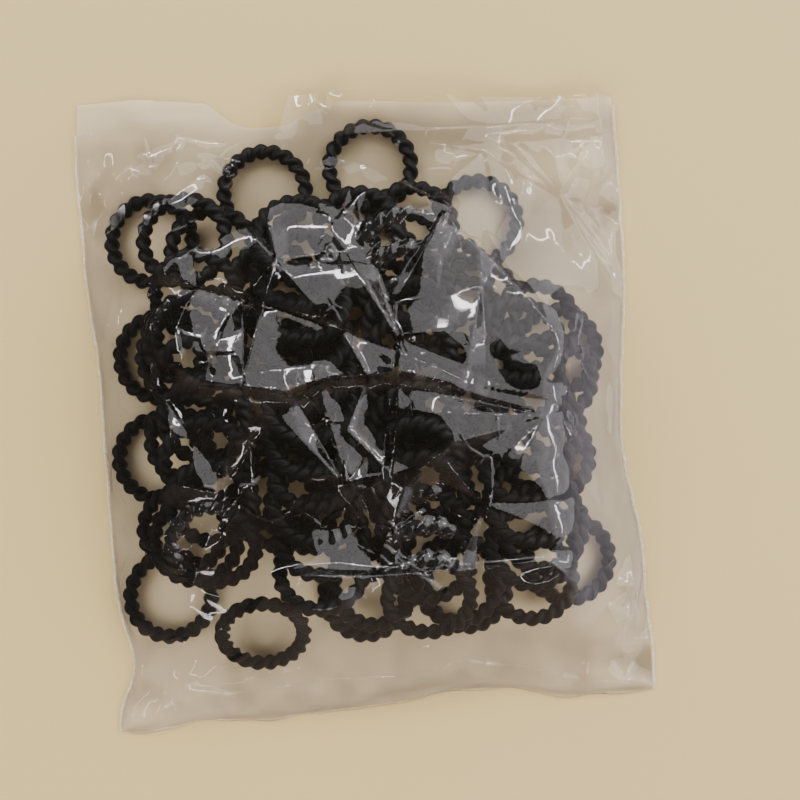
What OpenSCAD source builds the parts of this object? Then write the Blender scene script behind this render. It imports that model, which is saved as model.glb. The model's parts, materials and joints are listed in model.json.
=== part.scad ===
// Pack of twisted leg bands in a flat clear film bag.
// Rubbery closed rings with a rope twist lie in the bag: flat ones on the back film and along the rim,
// and rows of toppled ones that lean on each other above them. The bag's mouth faces +Y.

/* [Band] */
// Inside diameter of a band, which goes over the bird's leg
band_bore = 18; // [14:0.5:22]
// Thickness of the cord over its strands
cord_d = 4.5; // [3.5:0.1:5.5]
// Bumps around one band, two to each turn of the strands
bumps = 20; // [12:2:28]

/* [Bag] */
// Room between the heap and each side seam
side_room = 4.9; // [4.5:0.1:20]
// Room between the heap and the folded end
fold_room = 14; // [8:1:30]
// Room between the heap and the mouth
mouth_room = 5.5; // [4:0.5:30]
// Thickness that the film is drawn at
film_t = 0.3; // [0.2:0.05:0.6]
// How much further the mouth reaches on the left than on the right
mouth_slant = 9; // [0:1:12]
// Length of the loose lip of the front film
lip_l = 10; // [6:1:14]
// Width of the loose lip
lip_w = 92; // [80:1:110]
// Distance from the lip's right end to the right side
lip_inset = 4; // [3:0.5:12]
// Width of the melted seam on each side
seam_w = 0.8; // [0.5:0.1:1.5]

/* [Heap] */
// Room between bands, and between a band and the film
gap = 0.3; // [0.2:0.05:0.6]
// Room that the film keeps over the highest band
slack = 2; // [1.6:0.2:4]
// Turn of the lowest layer of hidden flat bands about the upright axis
lower_turn = 22; // [0:1:30]
// Turn of the middle layer of hidden bands
middle_turn = 6; // [0:1:30]
// Turn of the top layer of hidden bands
top_turn = 28; // [0:1:30]
// Lean of the band that stands against the foot of the heap
stray_lean = 38; // [25:1:45]

/* [Hidden] */
// Places in the heap are in pitches, the spacing of flat bands that lie side by side
band_od = band_bore + 2 * cord_d;
band_r = (band_bore + cord_d) / 2;
pitch = band_od + gap;
// The cord's height over its lobes where a band lies flat, and that of a layer of such bands
cord_h = cord_d * cos(30);
layer_h = cord_h + gap;
floor_z = film_t + gap;
// Layers of flat bands under the rows, and the height that the rows stand on
flat_layers = 3;
rows_z = floor_z + flat_layers * layer_h;

// Flat bands at the mouth, in the lowest layer: [x, y]
SLIDING = [[-0.85, 2.22], [0.24, 2.4], [1.28, 1.76]];
// Flat bands round the rim of the heap: [x, y, layer]
RIM = [
    [-2.03, 1.8, 0], [-1.41, 1.64, 1], [-2.03, 0.62, 0], [-2.11, -0.41, 0], [-1.89, -1.13, 1],
    [-2.1, -1.81, 0], [-0.13, -1.94, 0], [0.9, -1.93, 0], [1.56, -1.88, 1], [1.96, -1.73, 0],
    [1.83, -0.69, 0], [1.9, 0.11, 1], [1.99, 0.39, 0]
];
// The band that stands against the foot of the heap: [x, y]
STRAY = [-1.17, -2.23];
// Rows of toppled bands: [x, y of the first, y of the last, number of bands, side the tops lean to]
ROWS = [
    [-1.56, -1.28, 1.18, 7, 1], [-0.52, -1.6, 1.68, 11, -1], [0.52, -1.94, 1.44, 11, 1], [1.56, -1.5, 0.5, 6, -1]
];
// Steps by which the bands of a row depart sideways, over and over, in millimetres
SWAY = [0, 0.5, -0.3, 0.2, -0.5];

// The bag's outline, with the middle of its length at y = 0
heap_half_w = -min([for (p = RIM) p[0]]) * pitch + band_od / 2;
heap_foot = -STRAY[1] * pitch + band_r * cos(stray_lean) + cord_d / 2;
heap_head = max([for (p = SLIDING) p[1]]) * pitch + band_od / 2;
right = heap_half_w + side_room;
bag_l = fold_room + heap_foot + heap_head + mouth_room + mouth_slant / 2;
fold_y = -bag_l / 2;
mouth_y = bag_l / 2 - mouth_slant / 2;
heap_y = fold_y + fold_room + heap_foot;
lip_root = mouth_y - lip_l;

// A row's bands stand face to face, so their spacing sets how far they lean
function spacing(row) = (row[2] - row[1]) * pitch / (row[3] - 1);
function lean(row) = asin(layer_h / spacing(row));
heap_top = max([for (row = ROWS) rows_z + cord_d + 2 * band_r * sin(lean(row))]);

// Places of the flat bands already set in a layer, with the stray, which leans through both
function taken(layer) = concat(
    [for (p = RIM) if (p[2] == layer) [p[0], p[1]]],
    layer == 0 ? SLIDING : [],
    [STRAY, STRAY + [0, 0.16]]
);
function clear_of(p, places) = min([for (q = places) norm(p - q)]) >= 1;
// A close-packed grid of places, without those that meet a band already there and those beyond the
// heap's reach or in its bare corner, on the right at the mouth. One middle and one turn for each layer
FILL_MIDDLES = [[0.1, 0.4], [-0.2, -0.1], [0, -0.3]];
FILL_TURNS = [lower_turn, middle_turn, top_turn];
fill_reach = [2, 1.9];
bare_corner = 3;
function fill(layer) = [
    for (j = [-3 : 3], i = [-3 : 3])
        let (
            turn = FILL_TURNS[layer],
            grid = [i + (j % 2 == 0 ? 0 : 0.5), j * sin(60)],
            p = FILL_MIDDLES[layer]
                + [grid[0] * cos(turn) - grid[1] * sin(turn), grid[0] * sin(turn) + grid[1] * cos(turn)]
        )
        if (abs(p[0]) < fill_reach[0] && abs(p[1]) < fill_reach[1] && p[0] + p[1] < bare_corner
            && clear_of(p, taken(layer))) p
];

// The film's underside falls from the heap to each closed edge and to the mouth, and more steeply
// over a higher heap. The lowest of these slopes counts, and softest() rounds the ridges between them
side_slope = heap_top / 19.2;
end_slope = heap_top / 20.8;
flat_margin = 6;
roundness = 8;
mouth_gape = floor_z + cord_h + 2 * gap;
function sum_of(v, i = 0) = i == len(v) ? 0 : v[i] + sum_of(v, i + 1);
function softest(heights) = pow(1 / sum_of([for (h = heights) pow(1 / h, roundness)]), 1 / roundness);
function cover(x, y) = max(
    softest([
        heap_top + slack,
        floor_z + side_slope * (right - abs(x)),
        floor_z + end_slope * max(0, y - fold_y - flat_margin),
        mouth_gape + end_slope * max(0, lip_root - flat_margin / 2 - y)
    ]),
    floor_z
);

// Grid lines of the front film, closer together near its edges
columns = 8;
lines = 15;
function spread(f) = sign(f) * (1 - pow(1 - abs(f), 1.6));
film_x = [for (i = [-columns : columns]) (right - seam_w) * spread(i / columns)];
film_y = [for (j = [0 : lines]) fold_y + (lip_root - fold_y) * (spread(2 * j / lines - 1) + 1) / 2];

// A closed ring of three lobes that turn by half a lobe at each station, so that it swells at
// every second one along its outline, as a laid cord does
module twisted_band() {
    lobes = 3;
    stations = 2 * bumps;
    step = 180 / lobes;
    shift = stations / 2;
    function corner(k, j) =
        let (round = 360 * k / stations, a = 2 * step * j + step * k, r = band_r + cord_d / 2 * cos(a))
        [r * cos(round), r * sin(round), cord_d / 2 * sin(a)];
    function at(k, j) = k < stations ? k * lobes + j % lobes : (j + shift) % lobes;
    polyhedron(
        [for (k = [0 : stations - 1], j = [0 : lobes - 1]) corner(k, j)],
        [for (k = [0 : stations - 1], j = [0 : lobes - 1], half = [0, 1])
            half == 0 ? [at(k, j), at(k, j + 1), at(k + 1, j)]
                : [at(k + 1, j), at(k, j + 1), at(k + 1, j + 1)]],
        convexity = 6
    );
}

// A hidden band, with its cord's height as the thickness and no twist
module plain_band() {
    rotate_extrude($fn = 64) translate([band_r, 0]) circle(d = cord_h, $fn = 24);
}

// Where the middle of a flat band lies, for a place in pitches and a layer
function flat_at(p, layer) = [p[0] * pitch, p[1] * pitch + heap_y, floor_z + cord_h / 2 + layer * layer_h];

module rim_band(i) {
    color("#26262a") translate(flat_at(RIM[i], RIM[i][2])) rotate(i * 67) twisted_band();
}

module mouth_band(i) {
    color("#26262a") translate(flat_at(SLIDING[i], 0)) rotate(i * 41) twisted_band();
}

module leaning_band() {
    raised = (cord_d - cord_h) / 2 + band_r * sin(stray_lean);
    color("#26262a") translate(flat_at(STRAY, 0) + [0, 0, raised]) rotate([stray_lean, 0, 0]) twisted_band();
}

module row_band(row, i) {
    color("#26262a")
        translate([
            row[0] * pitch + SWAY[i % len(SWAY)],
            row[1] * pitch + heap_y + i * spacing(row),
            rows_z + cord_d / 2 + band_r * sin(lean(row))
        ])
            rotate([lean(row) * row[4], 0, 0]) rotate(i * 53) twisted_band();
}

module fill_bands(layer) {
    color("#1c1c20") for (p = fill(layer)) translate(flat_at(p, layer)) plain_band();
}

// The back film lies flat, with its mouth cut a little askew
module film_back() {
    color("#e8e6df", 0.4) linear_extrude(film_t) polygon([
        [-right + seam_w, fold_y], [right - seam_w, fold_y],
        [right - seam_w, mouth_y - mouth_slant / 2], [-right + seam_w, mouth_y + mouth_slant / 2]
    ]);
}

// The front film: one sheet over the heap, thick by film_t, from the fold to the lip's root
module film_front() {
    nx = len(film_x);
    ny = len(film_y);
    side = nx * ny;
    function sheet(lift) = [for (j = [0 : ny - 1], i = [0 : nx - 1])
        [film_x[i], film_y[j], cover(film_x[i], film_y[j]) + lift]];
    function at(layer, j, i) = layer * side + j * nx + i;
    // The edge of the grid in order, as pairs of line and column
    rim = concat(
        [for (i = [0 : nx - 2]) [0, i]], [for (j = [0 : ny - 2]) [j, nx - 1]],
        [for (i = [nx - 1 : -1 : 1]) [ny - 1, i]], [for (j = [ny - 1 : -1 : 1]) [j, 0]]
    );
    color("#e8e6df", 0.4) polyhedron(
        concat(sheet(0), sheet(film_t)),
        concat(
            [for (j = [0 : ny - 2], i = [0 : nx - 2], half = [0, 1]) half == 0
                ? [at(0, j, i), at(0, j, i + 1), at(0, j + 1, i)]
                : [at(0, j, i + 1), at(0, j + 1, i + 1), at(0, j + 1, i)]],
            [for (j = [0 : ny - 2], i = [0 : nx - 2], half = [0, 1]) half == 0
                ? [at(1, j, i), at(1, j + 1, i), at(1, j, i + 1)]
                : [at(1, j, i + 1), at(1, j + 1, i), at(1, j + 1, i + 1)]],
            [for (k = [0 : len(rim) - 1], half = [0, 1])
                let (a = rim[k], b = rim[(k + 1) % len(rim)]) half == 0
                ? [at(0, a[0], a[1]), at(1, a[0], a[1]), at(0, b[0], b[1])]
                : [at(0, b[0], b[1]), at(1, a[0], a[1]), at(1, b[0], b[1])]]
        ),
        convexity = 4
    );
}

// The lip is the front film's loose end, level over the open mouth
module mouth_lip() {
    right_end = right - lip_inset;
    left_end = right_end - lip_w;
    color("#e8e6df", 0.4) translate([0, 0, mouth_gape]) linear_extrude(film_t) polygon([
        [left_end, lip_root + gap], [right_end, lip_root + gap],
        [right_end, mouth_y - mouth_slant / 2], [left_end, mouth_y + mouth_slant / 4]
    ]);
}

// A melted bead that joins both films along one side
module side_seam(side) {
    color("#f4f2ea", 0.6) translate([side > 0 ? right - seam_w : -right, fold_y, 0])
        cube([seam_w, lip_root - fold_y, floor_z + 2 * film_t]);
}

// The film's closed end, where the back turns up into the front
module bottom_fold() {
    fold_h = floor_z + film_t;
    color("#f4f2ea", 0.6) translate([-right + seam_w, fold_y, 0]) rotate([90, 0, 90])
        linear_extrude(2 * (right - seam_w)) intersection() {
            translate([0, fold_h / 2]) circle(d = fold_h, $fn = 24);
            translate([-fold_h, 0]) square([fold_h, fold_h]);
        }
}

film_back();
film_front();
mouth_lip();
side_seam(-1);  // side_seam_left
side_seam(1);  // side_seam_right
bottom_fold();
for (i = [0 : len(SLIDING) - 1]) mouth_band(i);
for (i = [0 : len(RIM) - 1]) rim_band(i);
leaning_band();
fill_bands(0);  // lower_fill_bands
for (layer = [1 : flat_layers - 1]) fill_bands(layer);  // upper_fill_bands
for (r = [0 : len(ROWS) - 1], i = [0 : ROWS[r][3] - 1])
    row_band(ROWS[r], i);
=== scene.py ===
import bpy
import json
import math
import numpy as np
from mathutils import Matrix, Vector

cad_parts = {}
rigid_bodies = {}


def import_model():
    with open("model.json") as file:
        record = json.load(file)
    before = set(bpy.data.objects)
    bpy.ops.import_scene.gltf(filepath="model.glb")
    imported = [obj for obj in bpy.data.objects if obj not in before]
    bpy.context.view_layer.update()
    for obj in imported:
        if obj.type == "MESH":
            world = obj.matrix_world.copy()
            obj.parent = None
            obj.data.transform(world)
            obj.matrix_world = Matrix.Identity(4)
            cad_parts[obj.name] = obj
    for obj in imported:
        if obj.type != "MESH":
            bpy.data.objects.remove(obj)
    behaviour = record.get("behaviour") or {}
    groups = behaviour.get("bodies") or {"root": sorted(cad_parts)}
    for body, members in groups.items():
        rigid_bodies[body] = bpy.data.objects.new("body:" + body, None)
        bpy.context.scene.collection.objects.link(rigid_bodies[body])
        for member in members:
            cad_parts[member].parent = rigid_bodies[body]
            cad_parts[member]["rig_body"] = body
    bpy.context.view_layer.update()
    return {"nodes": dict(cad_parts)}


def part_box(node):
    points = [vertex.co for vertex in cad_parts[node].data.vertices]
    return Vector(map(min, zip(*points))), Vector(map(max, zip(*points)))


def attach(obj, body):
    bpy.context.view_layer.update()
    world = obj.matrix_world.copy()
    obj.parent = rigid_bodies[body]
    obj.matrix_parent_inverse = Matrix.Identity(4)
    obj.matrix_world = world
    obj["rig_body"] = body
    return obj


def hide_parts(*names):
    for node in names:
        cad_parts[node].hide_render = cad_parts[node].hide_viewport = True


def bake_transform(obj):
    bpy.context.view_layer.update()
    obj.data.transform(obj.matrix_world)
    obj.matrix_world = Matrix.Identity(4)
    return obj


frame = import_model()
MM = 0.001


# Leg bands
# Closed rings of soft black PVC rubber, 18 mm inside. Each is moulded as one ring whose cord has the
# two strands of a laid rope, ten turns to the ring, so that it swells twenty times along its outline.
BUMPS = 20
SEEN_GRID = 10, 20  # stations to a bump and points to a section of a band that shows
HIDDEN_GRID = 8, 14  # and of one deep in the heap
STRAND_SHARE = 0.62  # radius of one strand over that of the whole cord
LIE_FLAT = 0.93  # height of the cord over its width, pressed by the weight of the heap
OVAL_SHARE, THREE_SIDED_SHARE = 0.009, 0.004  # how far a ring is out of round, over its radius
BLOOM_PATCH, RUBBER_GRAIN = 8 * MM, 0.3 * MM
band_nodes = [n for n in frame["nodes"] if "band" in n]


def corners_and_triangles(obj):
    """Every vertex of an object as an array of places, and its triangles as an array of vertex numbers."""
    mesh = obj.data
    places = np.empty(len(mesh.vertices) * 3)
    mesh.vertices.foreach_get("co", places)
    mesh.calc_loop_triangles()
    triangles = np.empty(len(mesh.loop_triangles) * 3, dtype=np.int64)
    mesh.loop_triangles.foreach_get("vertices", triangles)
    return places.reshape(-1, 3), triangles.reshape(-1, 3)


def separate_rings(obj):
    """The corners of each ring in a node. Each corner takes the lowest number among those it shares a
    triangle with, over and over, until the corners of one ring all hold one number."""
    places, triangles = corners_and_triangles(obj)
    merged, number = np.unique(np.round(places / MM, 4), axis=0, return_inverse=True)
    triangles = number.reshape(-1)[triangles]
    label = np.arange(len(merged))
    while True:
        lowest = label.copy()
        np.minimum.at(lowest, triangles.ravel(), np.repeat(label[triangles].min(axis=1), 3))
        lowest = lowest[lowest]
        if (lowest == label).all():
            break
        label = lowest
    return [merged[label == k] * MM for k in np.unique(label)]


def ring_axes(corners):
    """A ring's middle, its axis and the direction of its first bump: the mean of its corners, the
    direction they vary least in, and the way to the corner furthest from the axis."""
    middle = corners.mean(axis=0)
    spread = corners - middle
    axis = np.linalg.svd(spread, full_matrices=False)[2][2]
    axis = axis if axis[2] > 0 else -axis
    flat = spread - np.outer(spread @ axis, axis)
    far = flat[np.linalg.norm(flat, axis=1).argmax()]
    return middle, axis, far / np.linalg.norm(far)


def cord_sizes(corners):
    """Radius of the ring at the middle of its cord, and radius of the cord, from the nearest and the
    furthest corner to the axis."""
    middle, axis, _ = ring_axes(corners)
    spread = corners - middle
    reach = np.linalg.norm(spread - np.outer(spread @ axis, axis), axis=1)
    return (reach.max() + reach.min()) / 2, (reach.max() - reach.min()) / 2


def laid_ring(middle, axis, first, ring_r, cord_r, grid, seed):
    """Corners of a ring of two-strand cord on a grid of stations by section points. The section is the
    outline of two circles side by side: out along the strands' line by the offset of a strand, then on to
    its circle. It turns once for every two bumps. The ring is out of round by a hair."""
    stations = BUMPS * grid[0]
    way = np.arange(stations)[:, None] * 2 * np.pi / stations
    turn = np.arange(grid[1])[None, :] * 2 * np.pi / grid[1]
    strand = STRAND_SHARE * cord_r
    offset = cord_r - strand
    lay = turn - way * BUMPS / 2
    radius = offset * np.abs(np.cos(lay)) + np.sqrt(strand**2 - (offset * np.sin(lay)) ** 2)
    oval = 1 + OVAL_SHARE * np.sin(2 * way + seed) + THREE_SIDED_SHARE * np.sin(3 * way + 2 * seed)
    out = ring_r * oval + radius * np.cos(turn)
    up = radius * np.sin(turn) * LIE_FLAT
    side = np.cross(axis, first)
    around = np.cos(way)[..., None] * first + np.sin(way)[..., None] * side
    return middle + out[..., None] * around + up[..., None] * axis


def closed_grid_faces(rows, columns):
    """The quads of a grid that closes on itself both ways."""
    r, c = np.meshgrid(np.arange(rows), np.arange(columns), indexing="ij")
    r2, c2 = (r + 1) % rows, (c + 1) % columns
    corners = [r * columns + c, r2 * columns + c, r2 * columns + c2, r * columns + c2]
    return np.stack(corners, -1).reshape(-1, 4)


def piece_from(name, corners, faces, smooth=True):
    """A new object at the origin from arrays of corners and of quads."""
    mesh = bpy.data.meshes.new(name)
    mesh.vertices.add(len(corners))
    mesh.vertices.foreach_set("co", np.ascontiguousarray(corners, dtype=np.float32).ravel())
    mesh.loops.add(faces.size)
    mesh.loops.foreach_set("vertex_index", faces.ravel().astype(np.int32))
    mesh.polygons.add(len(faces))
    mesh.polygons.foreach_set("loop_start", np.arange(0, faces.size, faces.shape[1], dtype=np.int32))
    mesh.polygons.foreach_set("use_smooth", np.full(len(faces), smooth))
    mesh.update(calc_edges=True)
    obj = bpy.data.objects.new(name, mesh)
    bpy.context.scene.collection.objects.link(obj)
    return obj


def linear(hex_colour):
    """A colour in linear light from its sRGB hex value: below 0.04045 a twelfth and a bit, above it the
    2.4th power."""
    parts = [int(hex_colour[i : i + 2], 16) / 255 for i in (1, 3, 5)]
    return (*[v / 12.92 if v <= 0.04045 else ((v + 0.055) / 1.055) ** 2.4 for v in parts], 1)


def add_node(material, kind, settings=None, **inputs):
    """Adds a node to a material, with its settings and with its inputs as values or as links."""
    tree = material.node_tree
    node = tree.nodes.new(kind)
    for key, value in (settings or {}).items():
        setattr(node, key, value)
    for key, value in inputs.items():
        socket = node.inputs[int(key[1:])] if key[1:].isdigit() else node.inputs[key.replace("_", " ")]
        if isinstance(value, bpy.types.NodeSocket):
            tree.links.new(value, socket)
        else:
            socket.default_value = value
    return node


def empty_material(name):
    """A material with nodes and nothing in it, and its output."""
    material = bpy.data.materials.new(name)
    material.use_nodes = True
    material.node_tree.nodes.clear()
    return material, add_node(material, "ShaderNodeOutputMaterial")


def moulded_pvc_rubber():
    """Soft PVC rubber, injection moulded: a charcoal black with a dull skin that shows a broad, weak
    shine on the strands, a greyer bloom in patches some 8 mm wide, and a grain of about 0.3 mm."""
    material, output = empty_material("moulded_pvc_rubber")
    place = add_node(material, "ShaderNodeTexCoord").outputs["Object"]
    bloom = add_node(
        material, "ShaderNodeTexNoise", Vector=place, Scale=1 / BLOOM_PATCH, Detail=3.0
    ).outputs["Fac"]
    colour = add_node(material, "ShaderNodeValToRGB", Fac=bloom)
    colour.color_ramp.elements[0].position = 0.35
    colour.color_ramp.elements[0].color = linear("#070708")
    colour.color_ramp.elements[1].position = 0.72
    colour.color_ramp.elements[1].color = linear("#0e0e10")
    rough = add_node(material, "ShaderNodeMapRange", Value=bloom, To_Min=0.45, To_Max=0.65)
    grain = add_node(
        material, "ShaderNodeTexNoise", Vector=place, Scale=1 / RUBBER_GRAIN, Detail=2.0
    ).outputs["Fac"]
    bump = add_node(material, "ShaderNodeBump", Height=grain, Strength=0.25, Distance=0.05 * MM)
    shader = add_node(
        material, "ShaderNodeBsdfPrincipled", Base_Color=colour.outputs["Color"],
        Roughness=rough.outputs["Result"], Normal=bump.outputs["Normal"],
    )
    shader.inputs["IOR"].default_value = 1.5
    shader.inputs["Specular IOR Level"].default_value = 0.15
    material.node_tree.links.new(shader.outputs[0], output.inputs["Surface"])
    return material


rubber = moulded_pvc_rubber()
ring_r, cord_r = cord_sizes(separate_rings(frame["nodes"]["rim_band_1"])[0])
band_corners = []
for number, node in enumerate(sorted(band_nodes)):
    grid = HIDDEN_GRID if "fill" in node else SEEN_GRID
    rings = [
        laid_ring(*ring_axes(corners), ring_r, cord_r, grid, number + 0.7 * k)
        for k, corners in enumerate(separate_rings(frame["nodes"][node]))
    ]
    ring_faces = closed_grid_faces(*rings[0].shape[:2])
    corners = np.concatenate([ring.reshape(-1, 3) for ring in rings])
    per_ring = rings[0].shape[0] * rings[0].shape[1]
    faces = np.concatenate([ring_faces + k * per_ring for k in range(len(rings))])
    band = piece_from(f"{node}_laid", corners, faces)
    band.data.materials.append(rubber)
    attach(band, frame["nodes"][node]["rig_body"])
    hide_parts(node)
    band_corners.append(corners)
band_corners = np.concatenate(band_corners)


# Front film
# The upper panel of a flat bag of clear polypropylene film, about 0.04 mm thick. It is drawn tight over
# the heap and stands in sharp creases and flat facets between the places where it touches.
front_low, front_high = (np.array(c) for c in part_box("film_front"))
lip_low, lip_high = (np.array(c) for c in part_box("mouth_lip"))
COLUMNS, LINES = 300, 330
FILM_OFF_BAND = 0.35 * MM
EDGE_LIFT = 0.5 * MM  # height of the panel at the bag's edges
SIDE_CALM, MOUTH_CALM = 12 * MM, 14 * MM  # margins where the stiff edges keep the panel from sagging
SAG_CELLS, BEND_CELLS, BEND_SHARE = 9, 5, 1.5  # how softly the film bends between and over the bands
PP_IOR = 1.49
WAVE_WIDTH, CREASE_APART = 26 * MM, 14 * MM
CREASE_BEND, CREASE_PATCH = 20 * MM, 17 * MM  # sizes of the bends in the creases and of the creased patches
rng = np.random.default_rng(41)


def tops(points, xs, ys):
    """The height of the heap over a grid: the highest corner that falls in each cell, spread to the
    cells beside it so that no gap is left between corners."""
    height = np.zeros((len(ys), len(xs)))
    column = np.rint((points[:, 0] - xs[0]) / (xs[1] - xs[0])).astype(int).clip(0, len(xs) - 1)
    line = np.rint((points[:, 1] - ys[0]) / (ys[1] - ys[0])).astype(int).clip(0, len(ys) - 1)
    np.maximum.at(height, (line, column), points[:, 2])
    wide = height.copy()
    for dy, dx in ((0, 1), (0, -1), (1, 0), (-1, 0)):
        wide = np.maximum(wide, np.roll(height, (dy, dx), axis=(0, 1)))
    return wide


def stretched_over(floor, edge, rounds=260):
    """A film drawn tight over a heap: each point moves to the mean of its four neighbours, but never
    below the heap, and the edge of the grid stays. It is solved on coarse grids first."""
    lines, columns = floor.shape
    if min(lines, columns) > 40:
        half = (lines + 1) // 2, (columns + 1) // 2
        padded = np.pad(floor, ((0, half[0] * 2 - lines), (0, half[1] * 2 - columns)), mode="edge")
        coarse_floor = padded.reshape(half[0], 2, half[1], 2).max(axis=(1, 3))
        coarse = stretched_over(coarse_floor, edge[::2, ::2][: half[0], : half[1]])
        height = np.repeat(np.repeat(coarse, 2, axis=0), 2, axis=1)[:lines, :columns]
    else:
        height = np.maximum(floor, edge)
    rim = np.zeros(floor.shape, dtype=bool)
    rim[0], rim[-1], rim[:, 0], rim[:, -1] = True, True, True, True
    height[rim] = edge[rim]
    for _ in range(rounds):
        mean = (height[:-2, 1:-1] + height[2:, 1:-1] + height[1:-1, :-2] + height[1:-1, 2:]) / 4
        height[1:-1, 1:-1] = np.maximum(mean, floor[1:-1, 1:-1])
    return height


def smooth_noise(x, y, size, generator):
    """Random hills about size across: twelve sine waves of random direction, length and phase."""
    total = np.zeros(np.broadcast(x, y).shape)
    for _ in range(12):
        a, p = generator.uniform(0, 2 * np.pi, 2)
        k = 2 * np.pi / (size * generator.uniform(0.7, 1.6))
        total += np.sin(k * (x * np.cos(a) + y * np.sin(a)) + p)
    return total / 12**0.5


def softened(height, cells):
    """The same grid with hills and dips under a few cells evened out: a bell-shaped running mean along
    the lines and then along the columns."""
    reach = np.arange(-3 * cells, 3 * cells + 1)
    bell = np.exp(-0.5 * (reach / cells) ** 2)
    bell /= bell.sum()
    for _ in range(2):
        wide = np.pad(height, ((0, 0), (3 * cells, 3 * cells)), mode="edge")
        height = sum(w * wide[:, k : k + height.shape[1]] for k, w in enumerate(bell)).T
    return height


def crumple(x, y, generator, waves, longest, shortest, slope):
    """Facets that meet in sharp creases: a sum of triangle waves, each with one slope up and down, over a
    ground that smooth noise bends and thins out, so that no crease runs straight for long."""
    total = np.zeros(x.shape)
    for _ in range(waves):
        a, p = generator.uniform(0, 2 * np.pi, 2)
        size = np.exp(generator.uniform(np.log(shortest), np.log(longest)))
        bend = 0.16 * smooth_noise(x, y, 2.2 * size, generator)
        phase = (x * np.cos(a) + y * np.sin(a)) / size + bend + p
        wave = np.abs((phase % 2) - 1) - 0.5
        strength = np.clip(0.45 + 0.6 * smooth_noise(x, y, 1.6 * size, generator), 0, 1.3)
        total += wave * size * slope * strength
    return total


def fold(x, y, route, height, steep, gentle):
    """A fold along a route of corner points: it stands highest on the line and falls away from it as an
    exponential, within the steep width on its left and the gentle width on its right. Height fades to
    nothing at both ends of the route."""
    route = np.array(route)
    reach = np.linalg.norm(np.diff(route, axis=0), axis=1)
    run = np.concatenate([[0], np.cumsum(reach)]) / reach.sum()
    nearest = np.full(x.shape, np.inf)
    side, along = np.zeros(x.shape), np.zeros(x.shape)
    for k in range(len(route) - 1):
        step = route[k + 1] - route[k]
        share = (((x - route[k, 0]) * step[0] + (y - route[k, 1]) * step[1]) / (step @ step)).clip(0, 1)
        away = np.hypot(x - route[k, 0] - share * step[0], y - route[k, 1] - share * step[1])
        left = step[0] * (y - route[k, 1]) - step[1] * (x - route[k, 0])
        closer = away < nearest
        nearest = np.where(closer, away, nearest)
        side = np.where(closer, left, side)
        along = np.where(closer, run[k] + share * (run[k + 1] - run[k]), along)
    fade = np.sin(np.pi * along.clip(0.02, 0.98)) ** 0.5
    return height * fade * np.exp(-nearest / np.where(side > 0, steep, gentle))


def grid_faces(rows, columns):
    """The quads of an open grid, with their fronts up."""
    r, c = np.meshgrid(np.arange(rows - 1), np.arange(columns - 1), indexing="ij")
    at = r * columns + c
    return np.stack([at, at + 1, at + columns + 1, at + columns], -1).reshape(-1, 4)


def clear_film(name, haze, mirror_share, seed_shift):
    """Blown polypropylene film: clear and glossy, with both of its faces mirroring a little. It has a
    faint milky haze, and waves 26 mm wide and sharp creases 14 mm apart that are too fine for the mesh.
    The mirror is the Fresnel share for its IOR, times mirror_share. seed_shift moves the creases."""
    material, output = empty_material(name)
    place = add_node(material, "ShaderNodeTexCoord").outputs["Object"]
    moved = add_node(
        material, "ShaderNodeMapping", Vector=place, Location=(seed_shift, 0, 0)
    ).outputs["Vector"]
    broad = add_node(
        material, "ShaderNodeTexNoise", {"noise_type": "RIDGED_MULTIFRACTAL"}, Vector=moved,
        Scale=1 / WAVE_WIDTH, Detail=2.5, Roughness=0.5,
    ).outputs["Fac"]
    wave = add_node(material, "ShaderNodeBump", Height=broad, Strength=0.35, Distance=0.4 * MM)
    bend = add_node(
        material, "ShaderNodeTexNoise", Vector=moved, Scale=1 / CREASE_BEND, Detail=2.0
    ).outputs["Color"]
    shifted = add_node(
        material, "ShaderNodeMix", {"data_type": "VECTOR"},
        Factor=0.012, _4=moved, _5=bend,
    ).outputs[1]
    to_crease = add_node(
        material, "ShaderNodeTexVoronoi", {"feature": "DISTANCE_TO_EDGE"}, Vector=shifted,
        Scale=1 / CREASE_APART,
    ).outputs["Distance"]
    crease = add_node(
        material, "ShaderNodeMapRange", Value=to_crease, From_Max=0.045, To_Min=1.0, To_Max=0.0
    )
    patchy = add_node(
        material, "ShaderNodeTexNoise", Vector=moved, Scale=1 / CREASE_PATCH, Detail=1.0
    ).outputs["Fac"]
    where = add_node(material, "ShaderNodeMapRange", Value=patchy, From_Min=0.5, From_Max=0.64)
    ridge = add_node(
        material, "ShaderNodeMath", {"operation": "MULTIPLY"},
        _0=crease.outputs["Result"], _1=where.outputs["Result"],
    )
    bump = add_node(
        material, "ShaderNodeBump", Height=ridge.outputs[0], Strength=0.8, Distance=0.28 * MM,
        Normal=wave.outputs["Normal"],
    )
    mirror = add_node(material, "ShaderNodeFresnel", IOR=PP_IOR, Normal=bump.outputs["Normal"])
    both_faces = add_node(
        material, "ShaderNodeMath", {"operation": "MULTIPLY", "use_clamp": True},
        _0=mirror.outputs["Fac"], _1=mirror_share,
    )
    clear = add_node(material, "ShaderNodeBsdfTransparent", Color=(1, 0.995, 0.985, 1))
    milky = add_node(material, "ShaderNodeBsdfDiffuse", Color=linear("#fff2d6"))
    body = add_node(material, "ShaderNodeMixShader", _0=haze, _1=clear.outputs[0], _2=milky.outputs[0])
    shine = add_node(
        material, "ShaderNodeBsdfGlossy", Color=(1, 0.95, 0.99, 1), Roughness=0.05,
        Normal=bump.outputs["Normal"],
    )
    film = add_node(
        material, "ShaderNodeMixShader", _0=both_faces.outputs[0], _1=body.outputs[0], _2=shine.outputs[0]
    )
    material.node_tree.links.new(film.outputs[0], output.inputs["Surface"])
    return material


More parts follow.
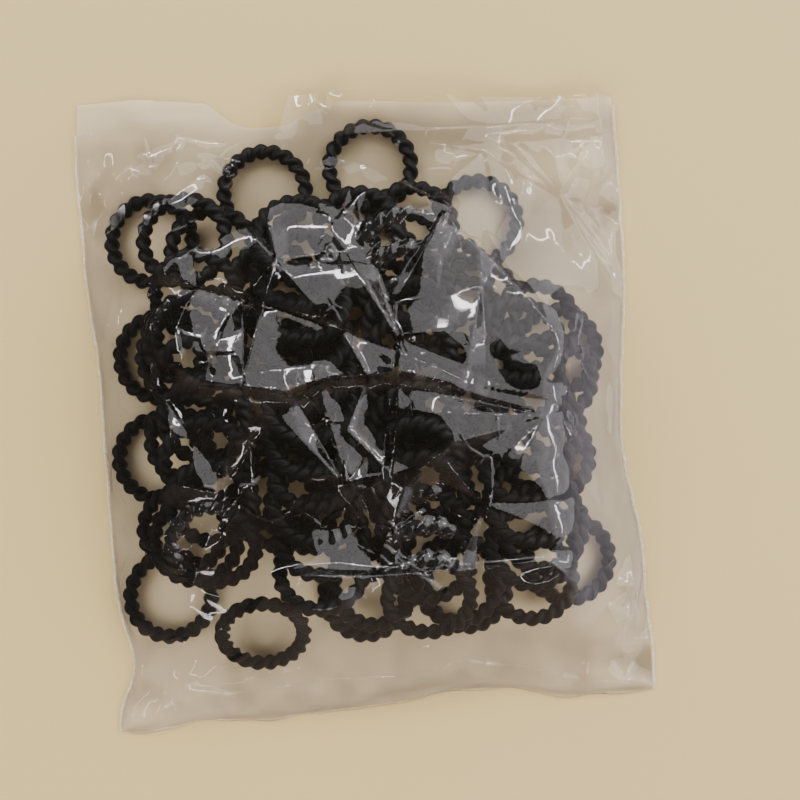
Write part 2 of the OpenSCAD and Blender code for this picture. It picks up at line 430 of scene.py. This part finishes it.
def shift_at(places, shifts, at):
    """How far an edge is drawn in or out at each place along it, in millimetres: straight runs between
    the given places, with their corners rounded by a mean over 6 mm on both sides."""
    near = np.linspace(-6, 6, 13)[:, None]
    return np.interp(at.ravel() / MM + near, places, shifts).mean(axis=0).reshape(at.shape) * MM


# Places along each edge, and how far the heap draws the edge to the right or up there, in millimetres
LEFT_EDGE = (
    [-88, -83, -74, -67, -60, -50, -15, 17, 38, 51, 71, 88],
    [1.2, 0, 6, 7, 4.2, 2.6, 2.4, 2.4, 0.4, 0.6, 0, 1.6],
)
RIGHT_EDGE = (
    [-88, -80, -56, -45, -31, -17, 0, 27, 69, 79],
    [-0.4, 0, -1, -0.6, -3.1, -4.7, -3.4, -0.4, 0, -0.4],
)
LOW_EDGE = (
    [-76, -65, -53, -35, -9, 4, 20, 40, 45, 76],
    [-0.5, -0.8, 1.5, 0.2, 1.5, 2.2, 4.6, 3.8, 0.7, 0.5],
)


def shift_of(u, v):
    """How far a point of the straight-edged bag moves because the heap draws its edges in: the shift of
    the nearest edge, which fades inwards as the sixth power of the distance from the middle for a side
    edge, and as the eighth for the closed end."""
    left, right, low = shift_at(*LEFT_EDGE, v), shift_at(*RIGHT_EDGE, v), shift_at(*LOW_EDGE, u)
    across = np.clip(np.abs(u) / front_high[0], 0, 1) ** 6
    along = np.clip(-v / -front_low[1], 0, 1) ** 8
    return np.where(u < 0, left, right) * across, low * along


def drawn_in(u, v):
    """Where each point of the straight-edged bag lies: its own place and its shift."""
    dx, dy = shift_of(u, v)
    return u + dx, v + dy


def straightened(x, y):
    """The reverse of drawn_in(): take the shift away again, found by ten better and better guesses."""
    u, v = x, y
    for _ in range(10):
        dx, dy = shift_of(u, v)
        u, v = x - dx, y - dy
    return u, v


def pucker(x, y, tip, steepness, reach, generator):
    """Creases that run together in one point, as in crumpled film: the height is the distance from the
    tip times a zigzag of five to seven corners round it, and it dies away over the reach."""
    corners = int(generator.integers(5, 8))
    turn = np.sort(generator.uniform(0, 2 * np.pi, corners))
    value = generator.uniform(0.5, 1, corners) * np.where(np.arange(corners) % 2, 1, -1)
    away = np.hypot(x - tip[0], y - tip[1])
    zigzag = np.interp(np.arctan2(y - tip[1], x - tip[0]) + np.pi, turn, value, period=2 * np.pi)
    return steepness * zigzag * away * np.exp(-((away / reach) ** 1.5))


u_line = np.linspace(front_low[0], front_high[0], COLUMNS)
v_line = np.linspace(front_low[1], front_high[1], LINES)
grid_u, grid_v = np.meshgrid(u_line, v_line)
grid_x, grid_y = drawn_in(grid_u, grid_v)
heap_u, heap_v = straightened(band_corners[:, 0], band_corners[:, 1])
heap = tops(np.stack([heap_u, heap_v, band_corners[:, 2]], -1), u_line, v_line) + FILM_OFF_BAND
edge_height = np.full(heap.shape, EDGE_LIFT)
from_side = np.minimum(grid_u - u_line[0], u_line[-1] - grid_u)
edge_height[-1] = np.minimum(lip_high[2], EDGE_LIFT + 1.1 * from_side[-1])
taut = stretched_over(heap, edge_height)
from_edge = np.minimum(from_side, grid_v - v_line[0])
inner = np.clip(from_edge / SIDE_CALM, 0, 1) * np.clip((v_line[-1] - grid_v) / MOUTH_CALM, 0, 1)
soft = softened(taut, SAG_CELLS)
soft = soft + softened(np.maximum(heap - soft, 0), BEND_CELLS) * BEND_SHARE
draped = taut + inner * (soft - taut)
# Folds in millimetres from the bag's middle: route, height, steep width on its left, gentle width on
# its right
FOLDS = [
    (
        [
            (-52, -76), (-37, -67), (-34, -56), (-28, -48), (-18, -45),
            (0, -47), (30, -47), (46, -46), (60, -58),
        ],
        3.0, 1.4, 7,
    ),
    ([(30, 1), (11, 6), (-9, 6), (-18, 3), (-41, 7), (-58, 19)], 4.6, 2.5, 14),
    ([(28, 2), (10, 12), (0, 16), (-20, 25), (-42, 32), (-58, 40)], -1.3, 2.5, 2.5),
    ([(-8, 69), (-2, 66), (6, 63), (18, 54), (27, 49), (24, 36)], 2.2, 1.2, 4),
    ([(-52, -60), (-50, -48), (-43, -32), (-34, -24)], 1.8, 1.5, 6),
    ([(-6, 24), (2, 6), (-4, -8), (6, -20)], 1.3, 1.2, 3),
    ([(-20, 38), (-22, 50), (-26, 58), (-28, 68)], 1.4, 1.5, 5),
    ([(27, 47), (29, 42), (37, 35), (46, 24), (52, 14)], 1.6, 1.2, 4),
    ([(40, -10), (22, -14), (10, -24), (4, -38)], 1.8, 2, 12),
    ([(58, 52), (48, 58), (38, 65), (26, 68)], 1.4, 0.9, 3),
    ([(75, 76), (66, 64), (58, 52), (66, 40), (74, 28)], 1.3, 0.9, 4),
    ([(-74, -70), (-50, -77), (-27, -73), (0, -68), (10, -68)], 0.9, 0.5, 3),
    ([(-60, -81), (-34, -78), (-12, -76), (6, -77), (24, -74), (44, -79), (60, -84)], 1.1, 0.6, 4),
    ([(-72, 60), (-60, 66), (-48, 58), (-40, 64), (-28, 62)], 0.9, 0.6, 3),
    ([(-58, 84), (-54, 66), (-50, 60)], 0.8, 0.6, 3),
    ([(66, 10), (74, 2), (72, -20)], 0.8, 0.6, 2.5),
    ([(56, -70), (66, -66), (76, -62)], 0.7, 0.5, 2.5),
    ([(-66, -86), (-62, -80), (-60, -72)], 1.2, 0.5, 3),
    ([(-44, -87), (-42, -81), (-38, -76)], 1.0, 0.5, 2.5),
    ([(-22, -87), (-21, -82), (-17, -78)], 1.1, 0.5, 3),
    ([(4, -87), (3, -81), (6, -76)], 0.9, 0.5, 2.5),
    ([(26, -87), (25, -80), (29, -73)], 1.1, 0.5, 3),
    ([(52, -87), (49, -81), (50, -76)], 1.0, 0.5, 2.5),
    ([(66, 84), (60, 76), (50, 71), (40, 70)], 1.5, 0.6, 3),
    ([(76, 60), (69, 58), (64, 49), (70, 40)], 1.3, 0.6, 3),
    ([(-76, 20), (-70, 22), (-66, 34), (-68, 46)], 1.1, 0.6, 3),
    ([(-76, -30), (-70, -28), (-62, -38), (-64, -50)], 1.1, 0.6, 3),
    ([(-72, -84), (-66, -76), (-70, -66)], 1.6, 0.5, 3),
]
# Points where creases run together: place in millimetres, steepness, and reach in millimetres
PUCKERS = [
    ((-20, 38), 0.32, 20), ((-41, 32), 0.3, 14), ((26, 49), 0.3, 12), ((58, 52), 0.22, 12),
    ((38, 65), 0.2, 9), ((-26, 66), 0.25, 10), ((-39, -22), 0.3, 14), ((11, 15), 0.24, 22),
    ((-55, -74), 0.3, 12), ((48, -8), 0.16, 24), ((-6, -22), 0.26, 16), ((-52, 4), 0.26, 14),
    ((2, -38), 0.2, 14), ((62, -34), 0.2, 14), ((-60, 68), 0.16, 10), ((34, 28), 0.22, 14),
    ((18, -74), 0.16, 10), ((-30, 8), 0.22, 18), ((66, -72), 0.16, 12), ((30, -30), 0.2, 18),
]
folds = sum(
    fold(grid_x, grid_y, np.array(route) * MM, height * MM, steep * MM, gentle * MM)
    for route, height, steep, gentle in FOLDS
)
puckers = sum(
    pucker(grid_x, grid_y, np.array(tip) * MM, steepness, reach * MM, rng)
    for tip, steepness, reach in PUCKERS
)
LOW_PART = 12 * MM  # how far up from the edge the small crinkles of the margins reach
SLACK = 1.5 * MM  # how far the panel stands off the heap between its folds
sway = 0.9 * MM * smooth_noise(grid_x, grid_y, 44 * MM, rng)
crinkles = crumple(grid_x, grid_y, rng, 7, 52 * MM, 20 * MM, 0.045)
near_rim = np.clip(1 - (draped - EDGE_LIFT) / LOW_PART, 0, 1)
fine = crumple(grid_x, grid_y, rng, 9, 26 * MM, 6 * MM, 0.19) * near_rim
calm = np.clip(from_edge / (4 * MM), 0, 1) * np.clip((v_line[-1] - grid_v) / (6 * MM), 0.1, 1)
front_z = draped + calm * (SLACK + folds + puckers + sway + crinkles + fine)
front_z = np.maximum(front_z, np.maximum(heap, EDGE_LIFT))
mouth_edge = shift_at([-76, -60, -45, -30, -20, 76], [5, 7, 3, -1, 0, 0], u_line)
grid_y = grid_y + mouth_edge * np.clip((grid_v - v_line[-1]) / MOUTH_CALM + 1, 0, 1) ** 2
front = piece_from(
    "front_film", np.stack([grid_x, grid_y, front_z], -1).reshape(-1, 3), grid_faces(LINES, COLUMNS)
)
front.data.materials.append(clear_film("clear_pp_film_front", haze=0.004, mirror_share=0.8, seed_shift=0.0))
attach(front, "bag")
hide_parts("film_front")


# Back film
# The lower panel of the bag, the same film. It lies on the table under the heap, and shows along the
# bag's margins and at the mouth, where its cut edge dips beside the lip and has faint creases of its own.
back_low, back_high = (np.array(c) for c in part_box("film_back"))
BACK_COLUMNS, BACK_LINES = 210, 240
MOUTH_PLACES = [-76, -57, -38, -31, -26, -16, -8, 0, 36, 71, 76]
MOUTH_LINE = [87.3, 87.4, 85.2, 79, 77.4, 77.4, 81, 83, 80, 78.8, 78.5]
back_u, share = np.meshgrid(
    np.linspace(back_low[0], back_high[0], BACK_COLUMNS), np.linspace(0, 1, BACK_LINES)
)
mouth_line = np.interp(back_u / MM, MOUTH_PLACES, MOUTH_LINE) * MM
back_x, back_y = drawn_in(back_u, back_low[1] + share * (mouth_line - back_low[1]))
under = 0.22 * MM + 0.2 * MM * np.clip(smooth_noise(back_x, back_y, 30 * MM, rng), -1, 1)
free_end = np.clip((back_y - v_line[-1]) / (8 * MM), 0, 1)
end_crease = crumple(back_x, back_y, rng, 6, 30 * MM, 8 * MM, 0.08)
back_z = under + free_end * np.clip(0.5 * MM + end_crease, 0, 2.5 * MM)
back = piece_from(
    "back_film", np.stack([back_x, back_y, back_z], -1).reshape(-1, 3), grid_faces(BACK_LINES, BACK_COLUMNS)
)
back.data.materials.append(clear_film("clear_pp_film_back", haze=0.38, mirror_share=0.2, seed_shift=0.3))
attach(back, "bag")
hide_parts("film_back")


# Mouth lip
# The front panel's loose end over the open mouth. Its root stays on the front film, its left end is torn
# back a little, and its free edge is cut askew and waves.
LIP_COLUMNS, LIP_LINES = 260, 26
lip_along, lip_v = np.meshgrid(np.linspace(0, 1, LIP_COLUMNS), np.linspace(0, 1, LIP_LINES))
lip_start = lip_low[0] + 5.5 * MM * lip_v**0.7
lip_x = lip_start + lip_along * (lip_high[0] + 2 * MM - lip_start)
LIP_LINE = [85.0, 85.2, 85.6, 84.2, 80.8, 79.2, 78.6]
lip_end = np.interp(lip_x / MM, [-20, -14, -3, 12, 36, 71, 76], LIP_LINE) * MM
lip_end = lip_end + 0.3 * MM * smooth_noise(lip_x, 0 * lip_x, 24 * MM, rng)
root_y = v_line[-1]
lip_y = root_y + lip_v * (lip_end - root_y)
root_z = np.interp(lip_x, grid_x[-1], front_z[-1])
droop = root_z - lip_v * np.clip(0.9 * MM + 0.9 * MM * smooth_noise(lip_x, lip_y, 30 * MM, rng), 0, 3 * MM)
lip_side = np.minimum(lip_along, 1 - lip_along) * (lip_high[0] - lip_low[0])
lip_crease = crumple(lip_x, lip_y, rng, 7, 26 * MM, 7 * MM, 0.12) * np.clip(lip_side / (5 * MM), 0, 1)
lip_z = np.maximum(droop + lip_v * lip_crease, 1.2 * MM)
lip = piece_from(
    "lip_film", np.stack([lip_x, lip_y, lip_z], -1).reshape(-1, 3), grid_faces(LIP_LINES, LIP_COLUMNS)
)
lip.data.materials.append(clear_film("clear_pp_film_lip", haze=0.02, mirror_share=0.8, seed_shift=0.6))
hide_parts("mouth_lip")
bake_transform(lip)


# Side seams
# Along each side the two panels are cut and melted together by a hot wire, which leaves a bead about
# 0.8 mm wide, a little milky and not quite straight.
SEAM_STATIONS, SEAM_POINTS = 700, 10
SEAM_HALF_WIDTH, SEAM_HEIGHT = 0.4 * MM, 0.62 * MM


def melted_edge():
    """Polypropylene that was melted and set again: milky where the film is clear, with a soft shine, and
    lumps about 2 mm long."""
    material, output = empty_material("melted_pp_edge")
    place = add_node(material, "ShaderNodeTexCoord").outputs["Object"]
    lumps = add_node(
        material, "ShaderNodeTexNoise", Vector=place, Scale=1 / (2 * MM), Detail=2.0
    ).outputs["Fac"]
    bump = add_node(material, "ShaderNodeBump", Height=lumps, Strength=0.4, Distance=0.15 * MM)
    share = add_node(
        material, "ShaderNodeMapRange", Value=lumps, From_Min=0.3, From_Max=0.7, To_Min=0.12, To_Max=0.4
    )
    clear = add_node(material, "ShaderNodeBsdfTransparent", Color=(0.97, 0.965, 0.95, 1))
    shader = add_node(
        material, "ShaderNodeBsdfPrincipled", Base_Color=linear("#f1ede2"), Roughness=0.22,
        Normal=bump.outputs["Normal"],
    )
    shader.inputs["IOR"].default_value = PP_IOR
    mixed = add_node(
        material, "ShaderNodeMixShader", _0=share.outputs["Result"], _1=clear.outputs[0], _2=shader.outputs[0]
    )
    material.node_tree.links.new(mixed.outputs[0], output.inputs["Surface"])
    return material


def bead_along(route, across, half_width, half_height):
    """A closed bead along a route: an ellipse round each point of it, across by the half width and up by
    the half height. It shrinks to a point at both ends."""
    stations = len(route)
    turn = np.arange(SEAM_POINTS)[None, :] * 2 * np.pi / SEAM_POINTS
    end = np.minimum(np.arange(stations), np.arange(stations)[::-1])[:, None]
    size = np.sin(np.clip(end / 6, 0.01, 1) * np.pi / 2)
    side = half_width[:, None] * size * np.cos(turn)
    up = half_height[:, None] * size * np.sin(turn)
    return route[:, None, :] + side[..., None] * across[:, None, :] + up[..., None] * np.array([0, 0, 1])


def bead_faces(stations):
    """The quads of a tube of rings, and a quad fan over each of its two tiny ends."""
    r, c = np.meshgrid(np.arange(stations - 1), np.arange(SEAM_POINTS), indexing="ij")
    c2 = (c + 1) % SEAM_POINTS
    at, ahead = r * SEAM_POINTS, (r + 1) * SEAM_POINTS
    tube = np.stack([at + c, ahead + c, ahead + c2, at + c2], -1)
    half = SEAM_POINTS // 2
    k = np.arange(half - 1)
    cap = np.stack([k, k + 1, SEAM_POINTS - 2 - k, SEAM_POINTS - 1 - k], -1)
    last = (stations - 1) * SEAM_POINTS
    return np.concatenate([tube.reshape(-1, 4), cap, cap[:, ::-1] + last])


edge_plastic = melted_edge()
for side, node in ((-1, "side_seam_left"), (1, "side_seam_right")):
    run = np.linspace(front_low[1], v_line[-1] + (6 * MM if side < 0 else 4 * MM), SEAM_STATIONS)
    wander = 0.12 * MM * smooth_noise(run, 0 * run, 9 * MM, rng)
    edge_u = np.full(run.shape, side * (front_high[0] + 0.25 * MM))
    edge_x, edge_y = drawn_in(edge_u, run)
    edge_z = SEAM_HEIGHT + 0.1 * MM * smooth_noise(run, 0 * run, 14 * MM, rng)
    route = np.stack([edge_x + wander, edge_y, edge_z], -1)
    across = np.tile([1.0, 0.0, 0.0], (SEAM_STATIONS, 1))
    width = SEAM_HALF_WIDTH * (1 + 0.18 * np.clip(smooth_noise(run, 0 * run, 3 * MM, rng), -1, 1))
    seam = piece_from(
        f"{node}_bead", bead_along(route, across, width, 0.7 * width).reshape(-1, 3),
        bead_faces(SEAM_STATIONS),
    )
    seam.data.materials.append(edge_plastic)
    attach(seam, "bag")
    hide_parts(node)


# Bottom fold
# At the closed end the film turns up from the back panel into the front one in a soft, open fold that was
# never pressed flat, so it stands a millimetre or so high and wanders.
FOLD_COLUMNS, FOLD_POINTS = 500, 16
fold_u, fold_turn = np.meshgrid(
    np.linspace(front_low[0], front_high[0], FOLD_COLUMNS), np.linspace(0, np.pi, FOLD_POINTS)
)
fold_end = np.clip((front_high[0] - np.abs(fold_u)) / (4 * MM), 0.25, 1)
fold_height = fold_end * np.clip(0.75 + 0.3 * smooth_noise(fold_u, 0 * fold_u, 17 * MM, rng), 0.4, 1.5) * MM
fold_reach = fold_end * np.clip(0.7 + 0.3 * smooth_noise(fold_u, 0 * fold_u, 11 * MM, rng), 0.3, 1.4) * MM
fold_x, fold_y = drawn_in(fold_u, np.full(fold_u.shape, front_low[1]))
fold_y = fold_y + 0.3 * MM - fold_reach * np.sin(fold_turn)
fold_z = 0.15 * MM + fold_height * (1 - np.cos(fold_turn)) / 2
bottom = piece_from(
    "bottom_fold_loop", np.stack([fold_x, fold_y, fold_z], -1).reshape(-1, 3),
    grid_faces(FOLD_POINTS, FOLD_COLUMNS),
)
bottom.data.materials.append(clear_film("clear_pp_film_fold", haze=0.06, mirror_share=1.3, seed_shift=0.9))
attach(bottom, "bag")
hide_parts("bottom_fold")


# Floor, light and camera
# A plain pale tabletop of laminate, lit evenly by low boxes from four sides. The glossy film mirrors
# windows and narrow strips that light nothing else, and the studio's walls, brown on one side and grey
# on another.
bpy.ops.mesh.primitive_plane_add(size=3, location=(0, 0, -0.05 * MM))
floor = bpy.context.object
floor.name = "tabletop"
floor.visible_glossy = False  # steep film mirrors the studio in its place, so that the heap's sides stay dark
pale, pale_out = empty_material("pale_laminate")
pale_shader = add_node(pale, "ShaderNodeBsdfPrincipled", Base_Color=linear("#ceb375"), Roughness=0.6)
pale.node_tree.links.new(pale_shader.outputs[0], pale_out.inputs["Surface"])
floor.data.materials.append(pale)

world = bpy.data.worlds.new("studio")
bpy.context.scene.world = world
world.use_nodes = True
world.node_tree.nodes.clear()
sky_out = add_node(world, "ShaderNodeOutputWorld")
looked_at = add_node(world, "ShaderNodeTexCoord").outputs["Generated"]
way = add_node(world, "ShaderNodeSeparateXYZ", Vector=looked_at)
wood = add_node(
    world, "ShaderNodeMapRange", Value=way.outputs["Y"], From_Min=-0.75, From_Max=-0.3,
    To_Min=0.55, To_Max=0.04,
)
wall = add_node(
    world, "ShaderNodeMapRange", Value=way.outputs["X"], From_Min=0.55, From_Max=0.7,
    To_Min=0.0, To_Max=1.7,
)
glow = add_node(world, "ShaderNodeMath", _0=wood.outputs["Result"], _1=wall.outputs["Result"])
tint = add_node(
    world, "ShaderNodeMix", {"data_type": "RGBA"}, Factor=wall.outputs["Result"],
    _6=(1, 0.76, 0.56, 1), _7=(1, 0.96, 1, 1),
)
sky = add_node(world, "ShaderNodeBackground", Color=tint.outputs[2], Strength=glow.outputs[0])
world.node_tree.links.new(sky.outputs[0], sky_out.inputs["Surface"])


def softbox(name, tilt, azimuth, distance, width, depth, radiance, in_gloss, in_diffuse):
    """A square-edged light that faces the origin, placed by its tilt from straight up and its azimuth
    from +X, and as bright as its radiance: power is pi times radiance times area."""
    lamp = bpy.data.lights.new(name, "AREA")
    lamp.shape, lamp.size, lamp.size_y = "RECTANGLE", width, depth
    lamp.energy = math.pi * radiance * width * depth
    obj = bpy.data.objects.new(name, lamp)
    tilt, azimuth = math.radians(tilt), math.radians(azimuth)
    obj.location = [
        distance * math.sin(tilt) * math.cos(azimuth), distance * math.sin(tilt) * math.sin(azimuth),
        distance * math.cos(tilt),
    ]
    obj.rotation_euler = (tilt, 0, azimuth + math.pi / 2)
    obj.visible_glossy = in_gloss
    obj.visible_diffuse = in_diffuse
    bpy.context.scene.collection.objects.link(obj)


for azimuth in (35, 125, 215, 305):
    softbox(
        f"side_{azimuth}", tilt=51, azimuth=azimuth, distance=1.2, width=1.1, depth=0.7, radiance=4.5,
        in_gloss=False, in_diffuse=True,
    )
# What the film mirrors: name, tilt and azimuth in degrees, width and depth in metres, radiance
MIRRORED = [
    ("window", 50, 32, 2.1, 1.5, 3.3),
    ("far_window", 52, 128, 0.7, 0.45, 2.6),
    ("strip_top", 47, 88, 1.3, 0.03, 80),
    ("strip_left", 50, 165, 0.7, 0.03, 30),
    ("strip_right", 62, 12, 0.9, 0.025, 60),
    ("strip_low", 42, 265, 0.9, 0.025, 22),
]
for name, tilt, azimuth, width, depth, radiance in MIRRORED:
    softbox(name, tilt, azimuth, 1.0, width, depth, radiance, in_gloss=True, in_diffuse=False)

VIEW_MIDDLE = (10.1 * MM, -1.3 * MM)
VIEW_HEIGHT = 0.5
VIEW_WIDTH = 0.2235
BAG_TURN = math.radians(4.2)
lens = bpy.data.cameras.new("overhead")
lens.sensor_width = 36
lens.lens = 36 * VIEW_HEIGHT / VIEW_WIDTH
camera = bpy.data.objects.new("overhead", lens)
camera.location = (*VIEW_MIDDLE, VIEW_HEIGHT)
camera.rotation_euler = (0, 0, -BAG_TURN)
bpy.context.scene.collection.objects.link(camera)
bpy.context.scene.camera = camera
